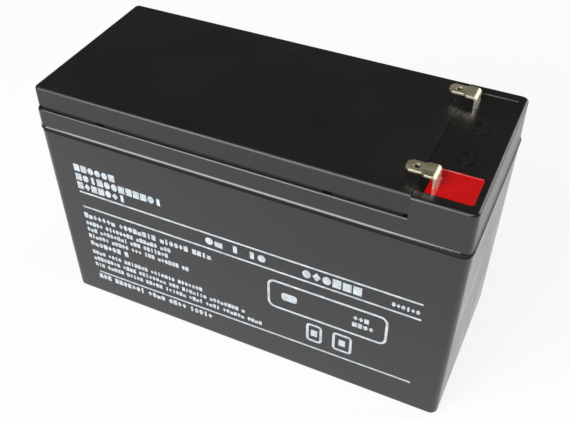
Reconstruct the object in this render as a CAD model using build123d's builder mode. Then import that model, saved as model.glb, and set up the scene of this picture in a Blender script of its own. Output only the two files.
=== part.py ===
from build123d import *
import math
import os

os.makedirs("parts", exist_ok=True)

# Sealed lead acid battery block of six cells, in millimetres.
# The origin is the middle of the base. +X is the terminal end, -Y is the printed front, +Z is up.

# Overall block, measured at the rim, with the height taken over the vent cover
case_length = 151.0
case_width = 65.0
case_height = 94.0
rim_corner_radius = 3.6

# Container
container_draft = 0.5
container_wall = 2.6
floor_thickness = 2.5
base_edge_radius = 1.2
shoulder_inset = 0.3
partition_thickness = 1.6
pocket_corner_radius = 1.2
cell_columns = 3

# Joint between container and lid
seam_gap = 0.6
skirt_height = 7.9
skirt_thickness = 1.8
skirt_clearance = 0.15
sealant_thickness = 0.5

# Lid
lid_draft = 0.5
lid_corner_radius = 2.5
bead_height = 1.8
bead_depth = 0.5
bead_edge_radius = 0.15
deck_thickness = 2.0
deck_edge_radius = 0.75
block_drop = 0.3
block_edge_radius = 0.95
block_roof = 2.2
core_wall = 1.9
core_corner_radius = 1.0
polarity_ring_radius = 3.0
polarity_ring_line = 0.5
polarity_ring_height = 0.2
polarity_ring_y = 8.0

# Terminal wells
well_length = 14.3
well_width = 12.65
well_end_margin = 3.2
well_side_margin = 4.5
well_corner_radius = 0.8
block_wall = 2.6
resin_drop = 0.45

# Vent cover
cover_height = 7.0
cover_groove = 1.2
cover_ledge = 0.6
cover_draft = 0.6
cover_end_gap = 0.15
cover_wall = 2.2
cover_roof = 2.0
cover_foot_inset = 0.6
cover_corner_radius = 1.8
cover_edge_radius = 1.0
gas_slot_width = 3.0
gas_slot_height = 0.3
gas_slot_spacing = 80.0

# Valves
nozzle_radius = 3.2
nozzle_bore_radius = 1.4
cap_roof = 1.6
cap_wall = 1.3
cap_clearance = 0.1
cap_lift = 1.4
cap_edge_radius = 0.5

# Terminal tabs, cut and folded from sheet, and the recess that gives a connector room under them
tab_thickness = 0.8
tab_rise = 3.5
tab_reach = 9.6
tab_strip_width = 6.2
tab_blade_width = 4.75
tab_blade_length = 5.0
tab_shoulder_run = 1.0
tab_tip_chamfer = 1.2
tab_bend_radius = 1.0
tab_leg_offset = 5.15
tab_foot_overhang = 2.6
tab_hole_radius = 1.0
tab_hole_from_tip = 3.1
tab_shift = -0.5
recess_reach = 4.8
recess_corner_radius = 1.2

# Pillars and their seal rings
pillar_radius = 2.8
pillar_stand = 3.6
pillar_clearance = 0.15
seal_section_radius = 0.9

# Plates, separators, straps and links
positive_plate = 2.6
negative_plate = 1.8
separator_least = 0.9
stack_clearance = 0.3
plate_end_clearance = 1.2
separator_rise = 1.5
lug_width = 8.0
lug_height = 4.5
strap_length = 10.0
strap_thickness = 3.5
strap_corner_radius = 0.8
head_space = 6.9
link_width = 8.0
link_clearance = 0.15

# Levels, from the cover down to the plates
deck_top_z = case_height - cover_height - cover_groove
deck_bottom_z = deck_top_z - deck_thickness
skirt_z = deck_top_z - skirt_height
shoulder_z = skirt_z - seam_gap
neck_top_z = deck_bottom_z - sealant_thickness
block_top_z = case_height - block_drop
resin_top_z = block_top_z - resin_drop
cover_roof_z = case_height - cover_roof
pillar_top_z = deck_top_z + pillar_stand
tab_top_z = case_height + tab_rise
strap_top_z = deck_bottom_z - head_space
strap_z = strap_top_z - strap_thickness
plate_top_z = strap_z - lug_height
plate_height = plate_top_z - floor_thickness

# Plan sizes that follow from the values above
base_inset = shoulder_inset + shoulder_z * math.tan(math.radians(container_draft))
neck_inset = skirt_thickness + skirt_clearance
bead_round_radius = bead_height - 2 * bead_edge_radius
deck_inset = bead_depth + skirt_height * math.tan(math.radians(lid_draft))
pocket_field_length = case_length - 2 * (base_inset + container_wall)
pocket_field_width = case_width - 2 * (base_inset + container_wall)
pocket_length = (pocket_field_length - (cell_columns - 1) * partition_thickness) / cell_columns
pocket_width = (pocket_field_width - partition_thickness) / 2
cell_pitch_x = pocket_length + partition_thickness
cell_pitch_y = pocket_width + partition_thickness
well_x = case_length / 2 - well_end_margin - well_length / 2
well_y = case_width / 2 - well_side_margin - well_width / 2
block_face_x = well_x - well_length / 2 - block_wall
between_wells = 2 * well_y - well_width
core_width = (between_wells - 3 * core_wall) / 2
core_y = (core_wall + core_width) / 2
cover_inset = deck_inset + cover_ledge
cover_start_x = cover_inset - case_length / 2
cover_end_x = block_face_x - cover_end_gap
cover_length = cover_end_x - cover_start_x
cover_width = case_width - 2 * cover_inset
cover_x = (cover_start_x + cover_end_x) / 2
valve_pitch = cover_length / cell_columns
stack_width = pocket_width - 2 * stack_clearance
least_pitch = positive_plate + negative_plate + 2 * separator_least
positive_count = math.floor((stack_width - negative_plate) / least_pitch)
negative_count = positive_count + 1
plates_thickness = positive_count * positive_plate + negative_count * negative_plate
separator_thickness = (stack_width - plates_thickness) / (2 * positive_count)
plate_pitch = positive_plate + negative_plate + 2 * separator_thickness
plate_length = pocket_length - 2 * plate_end_clearance
strap_offset = well_x - (cell_columns - 1) / 2 * cell_pitch_x


def case_outline(inset):
    """The rounded rectangle of the case, a given distance inside the rim."""
    RectangleRounded(case_length - 2 * inset, case_width - 2 * inset, rim_corner_radius - inset)


def lid_outline():
    """The lid's upright wall, set back behind the bead and squarer at the corners than the rim."""
    RectangleRounded(case_length - 2 * bead_depth, case_width - 2 * bead_depth, lid_corner_radius)


def cell_centre(number):
    """Cells 1 to 3 run from the terminal end along the front, cells 4 to 6 come back behind them."""
    row = (number - 1) // cell_columns
    step = (number - 1) % cell_columns
    column = step if row else cell_columns - 1 - step
    return (column - (cell_columns - 1) / 2) * cell_pitch_x, (row - 0.5) * cell_pitch_y


def positive_side(number):
    """The end of a cell that its positive strap is on, +1 towards the terminals."""
    return -1 if number > cell_columns else 1


cell_numbers = range(1, 2 * cell_columns + 1)
# The valves are spread evenly along the cover, each over its own cell.
valve_places = [(cover_x + x / cell_pitch_x * valve_pitch, y) for x, y in map(cell_centre, cell_numbers)]
well_places = [(well_x, -well_y), (well_x, well_y)]


def link_ends(number):
    """The two faces that the link from this cell to the next runs between, as x and y spans."""
    x, y = cell_centre(number)
    next_x, next_y = cell_centre(number + 1)
    if number == cell_columns:
        link_x = x - strap_offset
        start_y = y + stack_width / 2
        end_y = next_y - (stack_width / 2 - negative_plate - separator_thickness)
        return (link_x - link_width / 2, link_x + link_width / 2), (start_y, end_y)
    side = positive_side(number)
    strap_xs = sorted((x - side * strap_offset, next_x + side * strap_offset))
    link_xs = (strap_xs[0] + strap_length / 2, strap_xs[1] - strap_length / 2)
    return link_xs, (y - link_width / 2, y + link_width / 2)


# Container with its six cell pockets, and a window in the partition for each link
with BuildPart() as container:
    with BuildSketch():
        case_outline(base_inset)
    extrude(amount=shoulder_z, taper=-container_draft)
    fillet(container.edges().group_by(Axis.Z)[0], radius=base_edge_radius)
    with BuildSketch(Plane.XY.offset(shoulder_z)):
        case_outline(neck_inset)
    extrude(amount=neck_top_z - shoulder_z)
    with BuildSketch(Plane.XY.offset(floor_thickness)):
        with GridLocations(cell_pitch_x, cell_pitch_y, cell_columns, 2):
            RectangleRounded(pocket_length, pocket_width, pocket_corner_radius)
    extrude(amount=neck_top_z - floor_thickness, mode=Mode.SUBTRACT)
    for number in cell_numbers[:-1]:
        (start_x, end_x), (start_y, end_y) = link_ends(number)
        along_x = number != cell_columns
        window_x = end_x - start_x + (0 if along_x else 2 * link_clearance)
        window_y = end_y - start_y + (2 * link_clearance if along_x else 0)
        with BuildSketch(Plane.XY.offset(strap_z - link_clearance)):
            with Locations(((start_x + end_x) / 2, (start_y + end_y) / 2)):
                Rectangle(window_x, window_y)
        extrude(amount=strap_thickness + 2 * link_clearance, mode=Mode.SUBTRACT)
container.part.label = "container"
export_step(container.part, "parts/container.step")


# Bead of sealant on the neck and the partitions
with BuildPart() as joint_sealant:
    with BuildSketch(Plane.XY.offset(neck_top_z)):
        case_outline(neck_inset)
        with GridLocations(cell_pitch_x, cell_pitch_y, cell_columns, 2):
            RectangleRounded(pocket_length, pocket_width, pocket_corner_radius, mode=Mode.SUBTRACT)
    extrude(amount=sealant_thickness)
joint_sealant.part.label = "joint_sealant"
export_step(joint_sealant.part, "parts/joint_sealant.step")


def tab_recesses():
    """A shallow recess beside each well, as deep as the resin lies, under the tab's blade."""
    start_x = well_x - well_length / 2 - recess_reach
    recess_length = recess_reach + well_length / 2
    with Locations((start_x, -well_y), (start_x, well_y)):
        RectangleRounded(recess_length, well_width, recess_corner_radius, align=(Align.MIN, Align.CENTER))


# Lid: rim bead, skirt, deck with vent nozzles, and the end block with the two wells
with BuildPart() as rim_bead:
    with BuildSketch(Plane.XY.offset(skirt_z)):
        case_outline(0)
    extrude(amount=bead_height)
    fillet(rim_bead.edges().group_by(Axis.Z)[0], radius=bead_edge_radius)
    fillet(rim_bead.edges().group_by(Axis.Z)[-1], radius=bead_round_radius)

with BuildPart() as lid:
    with BuildSketch(Plane.XY.offset(skirt_z)):
        lid_outline()
    extrude(amount=block_top_z - skirt_z, taper=lid_draft)
    with BuildSketch(Plane.XY.offset(deck_top_z)):
        with Locations((block_face_x, 0)):
            Rectangle(case_length, case_width, align=(Align.MAX, Align.CENTER))
    extrude(amount=block_top_z - deck_top_z, mode=Mode.SUBTRACT)
    fillet(lid.faces().sort_by(Axis.Z)[-1].edges().sort_by(Axis.X)[1:], radius=block_edge_radius)
    deck_face = lid.faces().filter_by(Plane.XY).group_by(Axis.Z)[-2].sort_by(Axis.X)[0]
    fillet(deck_face.edges().sort_by(Axis.X)[:-1], radius=deck_edge_radius)
    add(rim_bead.part)
    with BuildSketch(Plane.XY.offset(skirt_z)):
        case_outline(skirt_thickness)
    extrude(amount=skirt_height - deck_thickness, mode=Mode.SUBTRACT)
    with BuildSketch(Plane.XY.offset(deck_bottom_z)):
        with Locations((well_x, -core_y), (well_x, core_y)):
            RectangleRounded(well_length, core_width, core_corner_radius)
    extrude(amount=block_top_z - block_roof - deck_bottom_z, mode=Mode.SUBTRACT)
    with BuildSketch(Plane.XY.offset(deck_top_z)):
        with Locations(*well_places):
            RectangleRounded(well_length, well_width, well_corner_radius)
    extrude(amount=block_top_z - deck_top_z, mode=Mode.SUBTRACT)
    with BuildSketch(Plane.XY.offset(resin_top_z)):
        tab_recesses()
    extrude(amount=block_top_z - resin_top_z, mode=Mode.SUBTRACT)
    with BuildSketch(Plane.XY.offset(deck_bottom_z)):
        with Locations(*well_places):
            Circle(pillar_radius + pillar_clearance)
    extrude(amount=deck_thickness, mode=Mode.SUBTRACT)
    with BuildSketch(Plane.XY.offset(deck_top_z)):
        with Locations(*valve_places):
            Circle(nozzle_radius)
    extrude(amount=cover_roof_z - cap_roof - deck_top_z)
    with BuildSketch(Plane.XY.offset(deck_bottom_z)):
        with Locations(*valve_places):
            Circle(nozzle_bore_radius)
    extrude(amount=cover_roof_z - deck_bottom_z, mode=Mode.SUBTRACT)
    with BuildSketch(Plane.XY.offset(block_top_z)):
        with Locations((well_x, -polarity_ring_y), (well_x, polarity_ring_y)):
            Circle(polarity_ring_radius)
            Circle(polarity_ring_radius - polarity_ring_line, mode=Mode.SUBTRACT)
    extrude(amount=polarity_ring_height)
lid.part.label = "lid"
export_step(lid.part, "parts/lid.step")


# Vent cover: a tray turned over, with a stepped foot that leaves a groove above the deck.
# It is cut off square towards the terminals, and the other three sides lean in a little.
with BuildPart() as vent_cover:
    with BuildSketch(Plane.XY.offset(deck_top_z + cover_groove)):
        with Locations((cover_start_x, 0)):
            RectangleRounded(case_length, cover_width, cover_corner_radius, align=(Align.MIN, Align.CENTER))
    extrude(amount=cover_height, taper=cover_draft)
    fillet(vent_cover.faces().sort_by(Axis.Z)[-1].edges(), radius=cover_edge_radius)
    split(bisect_by=Plane.YZ.offset(cover_end_x), keep=Keep.BOTTOM)
    with BuildSketch(Plane.XY.offset(deck_top_z)):
        with Locations((cover_x, 0)):
            RectangleRounded(
                cover_length - 2 * cover_foot_inset,
                cover_width - 2 * cover_foot_inset,
                cover_corner_radius - cover_foot_inset,
            )
    extrude(amount=cover_groove)
    with BuildSketch(Plane.XY.offset(deck_top_z)):
        with Locations((cover_x, 0)):
            Rectangle(cover_length - 2 * cover_wall, cover_width - 2 * cover_wall)
    extrude(amount=cover_roof_z - deck_top_z, mode=Mode.SUBTRACT)
    with BuildSketch(Plane.XY.offset(deck_top_z)):
        with Locations((cover_x, 0)):
            with GridLocations(gas_slot_spacing, 0, 2, 1):
                Rectangle(gas_slot_width, cover_width)
    extrude(amount=gas_slot_height, mode=Mode.SUBTRACT)
    with BuildSketch(Plane.XY.offset(resin_top_z)):
        tab_recesses()
    extrude(amount=case_height - resin_top_z, mode=Mode.SUBTRACT)
vent_cover.part.label = "vent_cover"
export_step(vent_cover.part, "parts/vent_cover.step")


def valve_cap(number):
    """A rubber cap on a vent nozzle, held down by the vent cover."""
    bore = nozzle_radius + cap_clearance
    low_z = deck_top_z + cap_lift
    with BuildPart() as cap:
        with BuildSketch(Plane.XY.offset(low_z)):
            with Locations(valve_places[number - 1]):
                Circle(bore + cap_wall)
        extrude(amount=cover_roof_z - low_z)
        fillet(cap.edges().group_by(Axis.Z)[-1], radius=cap_edge_radius)
        with BuildSketch(Plane.XY.offset(low_z)):
            with Locations(valve_places[number - 1]):
                Circle(bore)
        extrude(amount=cover_roof_z - cap_roof - low_z, mode=Mode.SUBTRACT)
    cap.part.label = f"valve_cap_{number}"
    export_step(cap.part, f"parts/valve_cap_{number}.step")


for number in cell_numbers:
    valve_cap(number)


# Terminals: the tab, the pillar under it, the seal ring round the pillar and the resin over them
def tab_outline(y, tip_x, foot_x):
    """The tab seen from above: a narrow blade with a chamfered tip on a wider strip."""
    blade = tab_blade_width / 2
    strip = tab_strip_width / 2
    half = [
        (tip_x, blade - tab_tip_chamfer),
        (tip_x + tab_tip_chamfer, blade),
        (tip_x + tab_blade_length, blade),
        (tip_x + tab_blade_length + tab_shoulder_run, strip),
        (foot_x, strip),
    ]
    return [(x, y + width) for x, width in half] + [(x, y - width) for x, width in reversed(half)]


def terminal_set(name, y):
    """Everything in one well: tab, pillar, seal ring and resin."""
    leg_x = well_x - tab_leg_offset
    tip_x = leg_x + tab_thickness / 2 - tab_reach
    foot_x = well_x + tab_foot_overhang
    blade_z = tab_top_z - tab_thickness / 2
    foot_z = pillar_top_z + tab_thickness / 2
    tab_y = y + tab_shift
    bend_points = [(tip_x, blade_z), (leg_x, blade_z), (leg_x, foot_z), (foot_x, foot_z)]
    with BuildPart() as tab:
        with BuildSketch(Plane.XZ.offset(-tab_y)):
            with BuildLine():
                FilletPolyline(*bend_points, radius=tab_bend_radius)
            trace(line_width=tab_thickness)
        extrude(amount=tab_strip_width / 2, both=True)
        with BuildSketch(Plane.XY.offset(pillar_top_z)):
            with BuildLine():
                Polyline(*tab_outline(tab_y, tip_x, foot_x), close=True)
            make_face()
        extrude(amount=tab_top_z - pillar_top_z, mode=Mode.INTERSECT)
        with Locations((tip_x + tab_hole_from_tip, tab_y, tab_top_z)):
            Hole(tab_hole_radius, depth=2 * tab_thickness)
    tab.part.label = f"terminal_{name}"
    export_step(tab.part, f"parts/terminal_{name}.step")

    with BuildPart() as pillar:
        with BuildSketch(Plane.XY.offset(strap_top_z)):
            with Locations((well_x, y)):
                Circle(pillar_radius)
        extrude(amount=pillar_top_z - strap_top_z)
    pillar.part.label = f"pillar_{name}"
    export_step(pillar.part, f"parts/pillar_{name}.step")

    seal_x = well_x + pillar_radius + seal_section_radius
    with BuildPart() as seal:
        with BuildSketch(Plane.XZ.offset(-y)):
            with Locations((seal_x, deck_top_z + seal_section_radius)):
                Circle(seal_section_radius)
        revolve(axis=Axis((well_x, y, 0), (0, 0, 1)))
    seal.part.label = f"seal_ring_{name}"
    export_step(seal.part, f"parts/seal_ring_{name}.step")

    with BuildPart() as resin:
        with BuildSketch(Plane.XY.offset(deck_top_z)):
            with Locations((well_x, y)):
                RectangleRounded(well_length, well_width, well_corner_radius)
        extrude(amount=resin_top_z - deck_top_z)
        with BuildSketch(Plane.XY.offset(deck_top_z)):
            with Locations((well_x, y)):
                Circle(pillar_radius + seal_section_radius)
        extrude(amount=seal_section_radius, mode=Mode.SUBTRACT)
        add(pillar.part, mode=Mode.SUBTRACT)
        add(seal.part, mode=Mode.SUBTRACT)
        add(tab.part, mode=Mode.SUBTRACT)
    resin.part.label = f"resin_{name}"
    export_step(resin.part, f"parts/resin_{name}.step")


terminal_set("positive", -well_y)
terminal_set("negative", well_y)


# Cells: plate groups, separators and links
def plate_group(name, number, lug_x, thickness, count):
    """Plates of one polarity, their lugs and the cast strap that joins them, as one piece."""
    x, y = cell_centre(number)
    with BuildPart() as group:
        with BuildSketch(Plane.XY.offset(floor_thickness)):
            with Locations((x, y)):
                with GridLocations(0, plate_pitch, 1, count):
                    Rectangle(plate_length, thickness)
        extrude(amount=plate_height)
        with BuildSketch(Plane.XY.offset(plate_top_z)):
            with Locations((lug_x, y)):
                with GridLocations(0, plate_pitch, 1, count):
                    Rectangle(lug_width, thickness)
        extrude(amount=lug_height)
        with BuildSketch(Plane.XY.offset(strap_z)):
            with Locations((lug_x, y)):
                RectangleRounded(strap_length, (count - 1) * plate_pitch + thickness, strap_corner_radius)
        extrude(amount=strap_thickness)
    group.part.label = f"{name}_{number}"
    export_step(group.part, f"parts/{name}_{number}.step")


def separator_set(number):
    """The glass mat sheets between the plates of one cell."""
    x, y = cell_centre(number)
    with BuildPart() as sheets:
        with BuildSketch(Plane.XY.offset(floor_thickness)):
            with Locations((x, y)):
                with GridLocations(0, plate_pitch, 1, positive_count):
                    with GridLocations(0, positive_plate + separator_thickness, 1, 2):
                        Rectangle(plate_length, separator_thickness)
        extrude(amount=plate_height + separator_rise)
    sheets.part.label = f"separators_{number}"
    export_step(sheets.part, f"parts/separators_{number}.step")


def cell_link(number):
    """The lead bridge from this cell's negative strap to the next cell's positive strap."""
    (start_x, end_x), (start_y, end_y) = link_ends(number)
    with BuildPart() as link:
        with BuildSketch(Plane.XY.offset(strap_z)):
            with Locations(((start_x + end_x) / 2, (start_y + end_y) / 2)):
                Rectangle(end_x - start_x, end_y - start_y)
        extrude(amount=strap_thickness)
    link.part.label = f"cell_link_{number}_{number + 1}"
    export_step(link.part, f"parts/cell_link_{number}_{number + 1}.step")


for number in cell_numbers:
    cell_x = cell_centre(number)[0]
    strap_shift = positive_side(number) * strap_offset
    plate_group("positive_group", number, cell_x + strap_shift, positive_plate, positive_count)
    plate_group("negative_group", number, cell_x - strap_shift, negative_plate, negative_count)
    separator_set(number)
for number in cell_numbers[:-1]:
    cell_link(number)
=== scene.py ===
import bpy
import math
import random
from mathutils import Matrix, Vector


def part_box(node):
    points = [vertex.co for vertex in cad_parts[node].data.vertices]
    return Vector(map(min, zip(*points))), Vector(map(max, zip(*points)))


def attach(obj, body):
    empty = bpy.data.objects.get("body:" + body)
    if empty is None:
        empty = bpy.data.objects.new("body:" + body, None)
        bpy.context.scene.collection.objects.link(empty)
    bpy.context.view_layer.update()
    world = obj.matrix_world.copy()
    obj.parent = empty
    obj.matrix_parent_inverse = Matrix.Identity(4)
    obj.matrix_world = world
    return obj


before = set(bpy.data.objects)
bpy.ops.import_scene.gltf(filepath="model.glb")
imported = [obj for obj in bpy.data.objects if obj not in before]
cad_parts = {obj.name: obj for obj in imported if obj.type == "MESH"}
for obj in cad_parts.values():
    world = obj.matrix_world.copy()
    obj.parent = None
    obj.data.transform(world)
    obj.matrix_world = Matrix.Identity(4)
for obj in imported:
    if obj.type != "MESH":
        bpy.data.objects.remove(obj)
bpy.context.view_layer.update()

MM = 0.001
BODY = "root"


# Places and sizes in millimetres, read from the frame

def box_mm(node):
    """Lowest and highest corner of a node, in millimetres."""
    low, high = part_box(node)
    return [value / MM for value in low], [value / MM for value in high]


case_low = box_mm("container")[0]
lid_low, lid_high = box_mm("lid")
cover_high = box_mm("vent_cover")[1]
RING_HEIGHT = 0.2
SEAM_GAP = 0.6
WALL_DRAFT = math.tan(math.radians(0.5))
FRONT_TOP_Y = case_low[1]
SHOULDER_Z = lid_low[2] - SEAM_GAP
BLOCK_TOP_Z = lid_high[2] - RING_HEIGHT
COVER_TOP_Z = cover_high[2]


def front_wall_y(z):
    """The front wall leans in towards the base."""
    return FRONT_TOP_Y + (SHOULDER_Z - z) * WALL_DRAFT


# Material helpers

def new_material(name, **inputs):
    """A material with its Principled shader, and constant values set on the shader itself."""
    material = bpy.data.materials.new(name)
    material.use_nodes = True
    shader = material.node_tree.nodes["Principled BSDF"]
    for socket, value in inputs.items():
        shader.inputs[socket.replace("_", " ")].default_value = value
    return material, material.node_tree, shader


def add_node(tree, kind, **inputs):
    """A node with the given input values."""
    node = tree.nodes.new(kind)
    for socket, value in inputs.items():
        node.inputs[socket.replace("_", " ")].default_value = value
    return node


def object_noise(tree, scale, detail, stretch):
    """Noise in the object's own space, so that it stays with the surface."""
    coords = add_node(tree, "ShaderNodeTexCoord")
    mapping = add_node(tree, "ShaderNodeMapping", Scale=stretch)
    tree.links.new(coords.outputs["Object"], mapping.inputs["Vector"])
    noise = add_node(tree, "ShaderNodeTexNoise", Scale=scale, Detail=detail, Roughness=0.5)
    tree.links.new(mapping.outputs["Vector"], noise.inputs["Vector"])
    return noise.outputs["Fac"]


def ramp_between(tree, source, low, high, start=0.3, end=0.7):
    """A colour between two others, mixed by a source value from start to end."""
    ramp = tree.nodes.new("ShaderNodeValToRGB")
    ramp.color_ramp.elements[0].position = start
    ramp.color_ramp.elements[1].position = end
    ramp.color_ramp.elements[0].color = (*low, 1.0)
    ramp.color_ramp.elements[1].color = (*high, 1.0)
    tree.links.new(source, ramp.inputs["Fac"])
    return ramp.outputs["Color"]


def range_between(tree, source, low, high, start=0.3, end=0.7):
    """A value that goes from low to high while the source goes from start to end."""
    spread = add_node(
        tree, "ShaderNodeMapRange", From_Min=start, From_Max=end, To_Min=low, To_Max=high
    )
    tree.links.new(source, spread.inputs["Value"])
    return spread.outputs["Result"]


def combine(tree, operation, first, second):
    """One Math node on two sockets."""
    node = add_node(tree, "ShaderNodeMath")
    node.operation = operation
    tree.links.new(first, node.inputs[0])
    tree.links.new(second, node.inputs[1])
    return node.outputs[0]


def add_bump(tree, shader, height, strength, depth, soft_edge):
    """Fine grain on the surface. A soft edge rounds the look of sharp edges over that length."""
    bump = add_node(tree, "ShaderNodeBump", Strength=strength, Distance=depth)
    tree.links.new(height, bump.inputs["Height"])
    if soft_edge:
        bevel = add_node(tree, "ShaderNodeBevel", Radius=soft_edge)
        tree.links.new(bevel.outputs["Normal"], bump.inputs["Normal"])
    tree.links.new(bump.outputs["Normal"], shader.inputs["Normal"])


def mottled(
    name, dark, light, rough, drift_scale, grain_scale, grain_depth,
    grain_strength=0.3, stretch=(1, 1, 1), soft_edge=0.0, **inputs,
):
    """A surface whose colour and roughness drift a little, with a fine grain."""
    material, tree, shader = new_material(name, **inputs)
    drift = object_noise(tree, drift_scale, detail=4.0, stretch=stretch)
    tree.links.new(ramp_between(tree, drift, dark, light), shader.inputs["Base Color"])
    tree.links.new(range_between(tree, drift, *rough), shader.inputs["Roughness"])
    grain = object_noise(tree, grain_scale, detail=3.0, stretch=stretch)
    add_bump(tree, shader, grain, grain_strength, grain_depth, soft_edge)
    return material


def scale_roughness(material, height, below, above, blend):
    """Multiplies the roughness by one value below a height and another above it."""
    tree = material.node_tree
    shader = tree.nodes["Principled BSDF"]
    coords = add_node(tree, "ShaderNodeTexCoord")
    split = add_node(tree, "ShaderNodeSeparateXYZ")
    tree.links.new(coords.outputs["Object"], split.inputs[0])
    height_m = height * MM
    share = range_between(tree, split.outputs["Z"], below, above, height_m, height_m + blend * MM)
    drift = shader.inputs["Roughness"].links[0].from_socket
    tree.links.new(combine(tree, "MULTIPLY", drift, share), shader.inputs["Roughness"])


# Materials: lengths in metres, noise scales per metre

case_plastic = mottled(
    "case_plastic", (0.0030, 0.0029, 0.0030), (0.0044, 0.0042, 0.0043), rough=(0.20, 0.27),
    drift_scale=60.0, grain_scale=900.0, grain_depth=0.00006, grain_strength=0.25, IOR=1.64,
)
lid_plastic = mottled(
    "lid_plastic", (0.0030, 0.0029, 0.0030), (0.0044, 0.0042, 0.0043), rough=(0.27, 0.34),
    drift_scale=60.0, grain_scale=900.0, grain_depth=0.00006, grain_strength=0.25, IOR=1.64,
)
cover_plastic = mottled(
    "cover_plastic", (0.0028, 0.0028, 0.0027), (0.0040, 0.0038, 0.0036), rough=(0.38, 0.46),
    drift_scale=45.0, grain_scale=1100.0, grain_depth=0.00005, grain_strength=0.2, IOR=1.6,
)
red_resin = mottled(
    "red_resin", (0.53, 0.0035, 0.0045), (0.59, 0.0045, 0.0055), rough=(0.06, 0.12),
    drift_scale=160.0, grain_scale=220.0, grain_depth=0.00008, grain_strength=0.25, IOR=1.52,
)
black_resin = mottled(
    "black_resin", (0.0060, 0.0058, 0.0055), (0.0085, 0.0080, 0.0078), rough=(0.10, 0.18),
    drift_scale=160.0, grain_scale=220.0, grain_depth=0.00008, grain_strength=0.25, IOR=1.52,
)
tinned_brass = mottled(
    "tinned_brass", (0.80, 0.75, 0.52), (0.93, 0.89, 0.70), rough=(0.32, 0.48),
    drift_scale=420.0, grain_scale=1500.0, grain_depth=0.00004, grain_strength=0.35,
    stretch=(0.35, 1, 1), soft_edge=0.0003, Metallic=1.0,
)
lead = mottled(
    "lead", (0.16, 0.165, 0.175), (0.26, 0.265, 0.28), rough=(0.45, 0.65),
    drift_scale=120.0, grain_scale=600.0, grain_depth=0.0001, Metallic=1.0,
)
negative_paste = mottled(
    "negative_paste", (0.13, 0.135, 0.14), (0.2, 0.205, 0.21), rough=(0.6, 0.8),
    drift_scale=200.0, grain_scale=900.0, grain_depth=0.00015,
)
positive_paste = mottled(
    "positive_paste", (0.055, 0.026, 0.016), (0.085, 0.042, 0.026), rough=(0.7, 0.85),
    drift_scale=200.0, grain_scale=900.0, grain_depth=0.00015,
)
glass_mat = mottled(
    "glass_mat", (0.72, 0.72, 0.69), (0.84, 0.84, 0.82), rough=(0.85, 0.95),
    drift_scale=500.0, grain_scale=1800.0, grain_depth=0.0002, grain_strength=0.5,
    stretch=(1, 1, 0.2),
)
sealant = mottled(
    "sealant", (0.02, 0.02, 0.022), (0.035, 0.034, 0.033), rough=(0.3, 0.45),
    drift_scale=150.0, grain_scale=500.0, grain_depth=0.0001,
)
seal_rubber = mottled(
    "seal_rubber", (0.014, 0.014, 0.014), (0.024, 0.024, 0.023), rough=(0.6, 0.75),
    drift_scale=180.0, grain_scale=900.0, grain_depth=0.00008,
)
print_ink = mottled(
    "print_ink", (0.36, 0.41, 0.44), (0.62, 0.67, 0.70), rough=(0.45, 0.6),
    drift_scale=380.0, grain_scale=1400.0, grain_depth=0.00003,
)

# The upper half of the rim bead was rubbed smooth by handling, and the rest of the lid is duller.
# Its underside and the edge across the seam stayed matt, because nothing rubs them there.
BEAD_TOP = 1.8
BEAD_UNDERSIDE = 0.85
SHOULDER_EDGE = 0.25
POLISHED = 0.4
MATT = 3.6
scale_roughness(lid_plastic, lid_low[2] + BEAD_TOP, POLISHED, 1.0, blend=0.5)
scale_roughness(lid_plastic, lid_low[2] + BEAD_UNDERSIDE, MATT / POLISHED, 1.0, blend=0.15)
scale_roughness(case_plastic, SHOULDER_Z - SHOULDER_EDGE, 1.0, MATT, blend=0.1)

MATERIAL_OF = {
    "container": case_plastic,
    "lid": lid_plastic,
    "vent_cover": cover_plastic,
    "joint_sealant": sealant,
    "terminal": tinned_brass,
    "resin_positive": red_resin,
    "resin_negative": black_resin,
    "pillar": lead,
    "seal_ring": seal_rubber,
    "valve_cap": seal_rubber,
    "positive_group": positive_paste,
    "negative_group": negative_paste,
    "separators": glass_mat,
    "cell_link": lead,
}


def material_for(node):
    """The material of the longest name in the table that the node's name starts with."""
    return MATERIAL_OF[max((key for key in MATERIAL_OF if node.startswith(key)), key=len)]


for node_name, node_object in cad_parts.items():
    node_object.data.materials.clear()
    node_object.data.materials.append(material_for(node_name))


# Mesh helpers

def mesh_piece(name, vertices, faces, material):
    """A piece in metres, made from millimetre vertices."""
    mesh = bpy.data.meshes.new(name)
    mesh.from_pydata([tuple(value * MM for value in vertex) for vertex in vertices], [], faces)
    mesh.validate()
    mesh.update()
    mesh.materials.append(material)
    piece = bpy.data.objects.new(name, mesh)
    bpy.context.scene.collection.objects.link(piece)
    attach(piece, BODY)


def rounded_outline(u0, v0, u1, v1, radius, corner_points=6):
    """A rectangle with round corners, as points in order."""
    corners = (
        (u1 - radius, v0 + radius, -90), (u1 - radius, v1 - radius, 0),
        (u0 + radius, v1 - radius, 90), (u0 + radius, v0 + radius, 180),
    )
    points = []
    for centre_u, centre_v, first_angle in corners:
        for k in range(corner_points + 1):
            angle = math.radians(first_angle + 90 * k / corner_points)
            points.append((centre_u + radius * math.cos(angle), centre_v + radius * math.sin(angle)))
    return points


# Plain marks in place of letters. Their sizes are shares of the pitch, height or width.

draws = random.Random(7)
FEWEST_IN_WORD = 3
MOST_IN_WORD = 8
MARK_SHARE = 0.84
WORD_GAP = 0.75
ROUNDING = 0.01
SHARPEST_CORNER = 0.3
LOWEST_MARK = 0.9
LOW_BLOCK = 0.7
SLIM_MARGIN = 0.25
SPOT_CORNERS = 12
DIAMOND_CORNERS = 4
MARK_KINDS = ("block", "block", "low block", "spot", "spot", "diamond", "slim block")


def next_word(words):
    """How many marks the next word has: the next in the list, or a number drawn at random."""
    return words.pop(0) if words else draws.randint(FEWEST_IN_WORD, MOST_IN_WORD)


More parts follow.
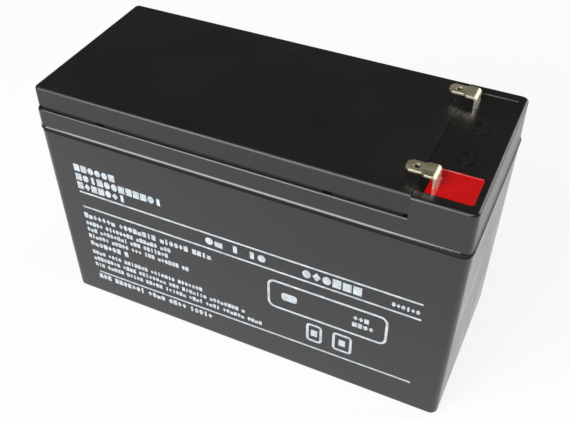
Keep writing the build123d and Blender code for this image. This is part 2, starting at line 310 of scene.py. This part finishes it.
class Plates:
    """Thin plates on a surface, made from closed outlines.

    The place function turns (u, v, lift) into a point.
    """

    def __init__(self, place, thickness):
        self.place = place
        self.thickness = thickness
        self.vertices = []
        self.faces = []

    def plate(self, outline, hole=None):
        """A plate with the given outline. A hole has as many points, in the same order."""
        rings = [outline] if hole is None else [outline, hole]
        first = len(self.vertices)
        count = len(outline)
        for lift in (0.0, self.thickness):
            for ring in rings:
                self.vertices += [self.place(u, v, lift) for u, v in ring]
        step = count * len(rings)
        for i in range(count):
            j = (i + 1) % count
            self.faces.append((first + i, first + j, first + step + j, first + step + i))
            if hole is not None:
                inner = first + count
                self.faces.append((inner + j, inner + i, inner + step + i, inner + step + j))
                top, inner_top = first + step, inner + step
                self.faces.append((top + i, top + j, inner_top + j, inner_top + i))
                self.faces.append((first + j, first + i, inner + i, inner + j))
        if hole is None:
            self.faces.append(tuple(first + step + i for i in range(count)))
            self.faces.append(tuple(first + i for i in reversed(range(count))))

    def bar(self, u0, v0, u1, v1):
        """A rectangle along the two axes."""
        self.plate([(u0, v0), (u1, v0), (u1, v1), (u0, v1)])

    def line(self, start, end, width):
        """A straight rule between two points."""
        along = Vector((end[0] - start[0], end[1] - start[1])).normalized()
        side = Vector((-along.y, along.x)) * width / 2
        self.plate([
            (start[0] - side.x, start[1] - side.y), (end[0] - side.x, end[1] - side.y),
            (end[0] + side.x, end[1] + side.y), (start[0] + side.x, start[1] + side.y),
        ])

    def disc(self, u, v, half_u, half_v, corners):
        """A round or oval spot. With four corners it is a diamond."""
        turns = [2 * math.pi * k / corners for k in range(corners)]
        self.plate([(u + half_u * math.cos(turn), v + half_v * math.sin(turn)) for turn in turns])

    def rounded_frame(self, u0, v0, u1, v1, radius, width):
        """A rounded frame of even line width."""
        self.plate(
            rounded_outline(u0, v0, u1, v1, radius),
            rounded_outline(
                u0 + width, v0 + width, u1 - width, v1 - width, max(radius - width, SHARPEST_CORNER)
            ),
        )

    def mark_row(self, u0, u1, v0, height, pitch, words=()):
        """A row of plain marks in place of a line of print: blocks, spots and diamonds, no letters."""
        words = list(words)
        left_in_word = next_word(words)
        u = u0
        while u + pitch <= u1 + ROUNDING:
            if left_in_word == 0:
                u += WORD_GAP * pitch
                left_in_word = next_word(words)
                continue
            self.mark(u, v0, MARK_SHARE * pitch, height * draws.uniform(LOWEST_MARK, 1.0))
            u += pitch
            left_in_word -= 1

    def mark(self, u, v, width, height):
        """One plain mark of a kind drawn at random."""
        kind = draws.choice(MARK_KINDS)
        if kind == "block":
            self.bar(u, v, u + width, v + height)
        elif kind == "low block":
            self.bar(u, v, u + width, v + LOW_BLOCK * height)
        elif kind == "slim block":
            self.bar(u + SLIM_MARGIN * width, v, u + (1 - SLIM_MARGIN) * width, v + height)
        else:
            corners = SPOT_CORNERS if kind == "spot" else DIAMOND_CORNERS
            self.disc(u + width / 2, v + height / 2, width / 2, height / 2, corners)


# Front print: places along the length and above the base, in millimetres

INK_THICKNESS = 0.03
front = Plates(lambda x, z, lift: (x, front_wall_y(z) - lift, z), INK_THICKNESS)

RULE_WIDTH = 0.75
RULES = (
    ((-63.4, 53.4), (64.1, 53.4)),
    ((-63.5, 46.3), (64.2, 46.3)),
    ((-62.6, 12.4), (64.0, 13.6)),
)
for start, end in RULES:
    front.line(start, end, RULE_WIDTH)

# Left end, right end, foot, height and pitch of each row of marks, and the lengths of its words.
# Rows without lengths, and words past the last length, get theirs at random.
PRINT_ROWS = (
    # Heading of three rows at the upper left
    (-63.6, -46.0, 63.1, 3.3, 2.87, (6,)),
    (-63.6, -28.2, 58.9, 3.3, 2.95, (12,)),
    (-63.6, -42.4, 54.9, 3.3, 2.9, (7,)),
    # Between the two upper rules
    (-12.6, 12.8, 48.3, 3.5, 3.6, (2, 1, 3)),
    (23.5, 45.0, 47.9, 3.9, 3.55, (6,)),
    (54.2, 64.3, 48.4, 2.0, 1.6, (6,)),
    # Left block of small rows
    (-63.8, -10.2, 40.7, 2.7, 1.95),
    (-63.8, -27.0, 37.1, 2.2, 1.5),
    (-63.8, -27.0, 33.9, 2.2, 1.5),
    (-63.8, -19.9, 30.5, 2.2, 1.5),
    (-63.8, -46.0, 26.5, 2.6, 1.95),
    (-63.8, -14.9, 22.1, 2.1, 1.5),
    (-63.8, 2.3, 18.7, 2.1, 1.5),
    (-63.8, 9.2, 15.3, 2.1, 1.5),
    # Below the lowest rule
    (-63.2, -11.0, 8.6, 2.7, 1.95),
)
for row in PRINT_ROWS:
    front.mark_row(*row)

# Large frame at the right, with a plain plate and two short rows inside
front.rounded_frame(10.6, 27.9, 54.1, 41.8, radius=3.0, width=0.9)
front.plate(rounded_outline(15.9, 33.2, 21.7, 36.8, radius=1.2))
front.mark_row(42.0, 47.9, 35.6, 2.3, 1.95, (3,))
front.mark_row(41.8, 49.8, 32.3, 2.3, 1.95, (4,))

# Two small frames below it, each with a block inside
SMALL_FRAMES = ((28.3, 3.0), (38.7, 3.6))
SMALL_FRAME_Z = (16.6, 25.8)
BLOCK_HALF_WIDTH = 1.2
BLOCK_Z = (19.6, 22.8)
for centre, half_width in SMALL_FRAMES:
    left, right = centre - half_width, centre + half_width
    front.rounded_frame(left, SMALL_FRAME_Z[0], right, SMALL_FRAME_Z[1], radius=1.6, width=0.95)
    front.bar(centre - BLOCK_HALF_WIDTH, BLOCK_Z[0], centre + BLOCK_HALF_WIDTH, BLOCK_Z[1])
mesh_piece("front_print", front.vertices, front.faces, print_ink)


# Faint raised marks near the back edge of the cover

RELIEF_HEIGHT = 0.12
relief = Plates(lambda x, y, lift: (x, y, COVER_TOP_Z + lift), RELIEF_HEIGHT)
relief.mark_row(-22.5, 9.8, 22.1, 2.4, 2.9, (9,))
mesh_piece("cover_marks", relief.vertices, relief.faces, cover_plastic)


# Polarity signs, moulded on the end block inside the two rings

SIGN_LENGTH = 3.2
SIGN_WIDTH = 0.7
RING_Y = 8.0
well_low, well_high = box_mm("resin_positive")
WELL_MID_X = (well_low[0] + well_high[0]) / 2


def polarity_sign(name, y, plus):
    """A plus or minus sign that stands as high as its ring."""
    sign = Plates(lambda u, v, lift: (u, v, BLOCK_TOP_Z + lift), RING_HEIGHT)
    long, short = SIGN_LENGTH / 2, SIGN_WIDTH / 2
    if plus:
        corner = [(long, short), (short, short), (short, long)]
        outline = corner + [(-u, v) for u, v in reversed(corner)]
        outline += [(-u, -v) for u, v in corner] + [(u, -v) for u, v in reversed(corner)]
        sign.plate([(WELL_MID_X + u, y + v) for u, v in outline])
    else:
        sign.bar(WELL_MID_X - long, y - short, WELL_MID_X + long, y + short)
    mesh_piece(name, sign.vertices, sign.faces, lid_plastic)


polarity_sign("sign_positive", -RING_Y, True)
polarity_sign("sign_negative", RING_Y, False)


# Resin drawn up a little where it meets the well walls and the tabs

# Section of the strip: distance from the wall and height above the resin
MENISCUS = (
    (0.01, -0.05), (0.01, 0.36), (0.05, 0.25), (0.12, 0.15), (0.24, 0.07), (0.4, 0.02), (0.6, -0.05),
)
WELL_CORNER = 0.8
LEG_CORNER = 0.05
LEG_OFFSET = 5.15
LEG_THICKNESS = 0.8


def well_path(low, high, away):
    """Along the front wall, round the end and back along the back wall."""
    rounded = rounded_outline(
        low[0], low[1] + away, high[0] - away, high[1] - away, WELL_CORNER - away
    )
    half = len(rounded) // 2
    return [(low[0], low[1] + away)] + rounded[:half] + [(low[0], high[1] - away)]


def leg_path(leg_x, leg_y0, leg_y1, away):
    """Round the upright leg of the tab, the other way round, so that the strip faces out."""
    return list(reversed(rounded_outline(
        leg_x - LEG_THICKNESS / 2 - away, leg_y0 - away,
        leg_x + LEG_THICKNESS / 2 + away, leg_y1 + away, LEG_CORNER + away,
    )))


def meniscus(name, path, level, closed, material):
    """A concave strip along a wall. The path gives the points at a distance from the wall."""
    vertices = []
    for away, rise in MENISCUS:
        vertices += [(x, y, level + rise) for x, y in path(away)]
    rows = len(MENISCUS)
    count = len(vertices) // rows
    faces = []
    for row in range(rows):
        above = (row + 1) % rows
        for i in range(count if closed else count - 1):
            j = (i + 1) % count
            faces.append((row * count + i, row * count + j, above * count + j, above * count + i))
    if not closed:
        faces.append(tuple(row * count for row in range(rows)))
        faces.append(tuple(row * count + count - 1 for row in reversed(range(rows))))
    mesh_piece(name, vertices, faces, material)


for pole, resin, resin_slot in (
    ("positive", red_resin, "red_resin"), ("negative", black_resin, "black_resin"),
):
    low, high = box_mm(f"resin_{pole}")
    tab_low, tab_high = box_mm(f"terminal_{pole}")
    leg_x = (low[0] + high[0]) / 2 - LEG_OFFSET
    meniscus(
        f"meniscus_{pole}", lambda away: well_path(low, high, away),
        high[2], False, resin,
    )
    meniscus(
        f"tab_meniscus_{pole}", lambda away: leg_path(leg_x, tab_low[1], tab_high[1], away),
        high[2], True, resin,
    )


# Floor and room, in metres

WHITE = (1.0, 1.0, 1.0)
FLOOR_SIZE = 60.0
FLOOR_DROP = 0.00005
FLOOR_GREY = 0.9
# Share of the floor that is white by itself. The lamps light the rest, which keeps the shadow.
FLOOR_WHITE = 0.87
FLOOR_FADE_START = 1.2
FLOOR_FADE_END = 4.0
ROOM_COLOUR = (0.098, 0.093, 0.079)
# The white near the horizon ends between these two heights of a ray's direction
HORIZON_START = 0.02
HORIZON_END = 0.12


def looking_rays(tree):
    """Sockets for the camera's rays, and for those that come off gloss or through glass."""
    rays = add_node(tree, "ShaderNodeLightPath").outputs
    mirrored = combine(tree, "MAXIMUM", rays["Is Glossy Ray"], rays["Is Transmission Ray"])
    return rays["Is Camera Ray"], mirrored


half = FLOOR_SIZE / 2
floor_corners = [(-half, -half, 0), (half, -half, 0), (half, half, 0), (-half, half, 0)]
floor_mesh = bpy.data.meshes.new("floor")
floor_mesh.from_pydata(floor_corners, [], [(0, 1, 2, 3)])
floor = bpy.data.objects.new("floor", floor_mesh)
floor.location = (0, 0, -FLOOR_DROP)
bpy.context.scene.collection.objects.link(floor)

floor_material, tree, shader = new_material("floor", Roughness=0.9)
shader.inputs["Base Color"].default_value = (FLOOR_GREY, FLOOR_GREY, FLOOR_GREY, 1.0)
emission = add_node(tree, "ShaderNodeEmission", Color=(*WHITE, 1.0), Strength=1.0)
# Far from the object the floor turns fully white for the camera, so that its edge doesn't show
camera_ray, mirrored = looking_rays(tree)
coords = add_node(tree, "ShaderNodeTexCoord")
distance = add_node(tree, "ShaderNodeVectorMath")
distance.operation = "LENGTH"
tree.links.new(coords.outputs["Object"], distance.inputs[0])
fade = range_between(
    tree, distance.outputs["Value"], FLOOR_WHITE, 1.0, FLOOR_FADE_START, FLOOR_FADE_END
)
seen = combine(tree, "MULTIPLY", camera_ray, fade)
reflected = range_between(tree, mirrored, 0.0, FLOOR_WHITE, 0.0, 1.0)
mix = add_node(tree, "ShaderNodeMixShader")
tree.links.new(combine(tree, "MAXIMUM", seen, reflected), mix.inputs[0])
tree.links.new(shader.outputs[0], mix.inputs[1])
tree.links.new(emission.outputs[0], mix.inputs[2])
tree.links.new(mix.outputs[0], tree.nodes["Material Output"].inputs["Surface"])
floor_mesh.materials.append(floor_material)

# The dim room looks white to the camera. In gloss it is white only near the horizon.
world = bpy.data.worlds.new("world")
bpy.context.scene.world = world
world.use_nodes = True
tree = world.node_tree
camera_ray, mirrored = looking_rays(tree)
coords = add_node(tree, "ShaderNodeTexCoord")
direction = add_node(tree, "ShaderNodeSeparateXYZ")
tree.links.new(coords.outputs["Generated"], direction.inputs[0])
low_down = range_between(tree, direction.outputs["Z"], 1.0, 0.0, HORIZON_START, HORIZON_END)
seen = combine(tree, "MAXIMUM", camera_ray, combine(tree, "MULTIPLY", mirrored, low_down))
background = tree.nodes["Background"]
tree.links.new(ramp_between(tree, seen, ROOM_COLOUR, WHITE, 0.0, 1.0), background.inputs["Color"])
background.inputs["Strength"].default_value = 1.0


# Lamps: directions from the object, distances and sizes in metres

LAMP_TARGET = Vector((0.0, 0.0, 0.06))


def soft_box(name, direction, distance, size, radiance, color=WHITE):
    """An area lamp that looks at the middle of the object. Its radiance sets its power."""
    lamp = bpy.data.lights.new(name, "AREA")
    lamp.shape = "RECTANGLE"
    lamp.size, lamp.size_y = size
    lamp.energy = radiance * math.pi * size[0] * size[1]
    lamp.color = color
    holder = bpy.data.objects.new(name, lamp)
    towards = Vector(direction).normalized()
    holder.location = LAMP_TARGET + towards * distance
    holder.rotation_euler = towards.to_track_quat("Z", "Y").to_euler()
    bpy.context.scene.collection.objects.link(holder)


soft_box(
    "front_left_box", (-0.359, -0.788, 0.5), distance=1.1, size=(0.66, 0.85),
    radiance=8.2, color=(0.96, 0.97, 1.0),
)
soft_box(
    "back_right_box", (0.55, 0.75, 0.36), distance=1.2, size=(0.5, 0.83),
    radiance=3.5, color=(1.0, 0.97, 0.92),
)
soft_box("top_box", (0.15, -0.35, 1.0), distance=1.4, size=(0.9, 0.9), radiance=2.6)


# Camera, as fitted to the photograph

CAMERA_AZIMUTH = 25.0
CAMERA_ELEVATION = 41.951
CAMERA_PLACE = (94.5901, -197.7432, 238.8582)
FOCAL_PIXELS = 800.5651
IMAGE_WIDTH = 570
SENSOR_WIDTH = 36.0
CLIP_START = 0.01
camera_data = bpy.data.cameras.new("camera")
camera_data.sensor_fit = "HORIZONTAL"
camera_data.sensor_width = SENSOR_WIDTH
camera_data.lens = SENSOR_WIDTH * FOCAL_PIXELS / IMAGE_WIDTH
camera_data.clip_start = CLIP_START
camera = bpy.data.objects.new("camera", camera_data)
azimuth = math.radians(CAMERA_AZIMUTH)
elevation = math.radians(CAMERA_ELEVATION)
back = Vector((
    math.sin(azimuth) * math.cos(elevation),
    -math.cos(azimuth) * math.cos(elevation),
    math.sin(elevation),
))
camera.rotation_euler = back.to_track_quat("Z", "Y").to_euler()
camera.location = [value * MM for value in CAMERA_PLACE]
bpy.context.scene.collection.objects.link(camera)
bpy.context.scene.camera = camera

bpy.context.scene.view_settings.view_transform = "Standard"
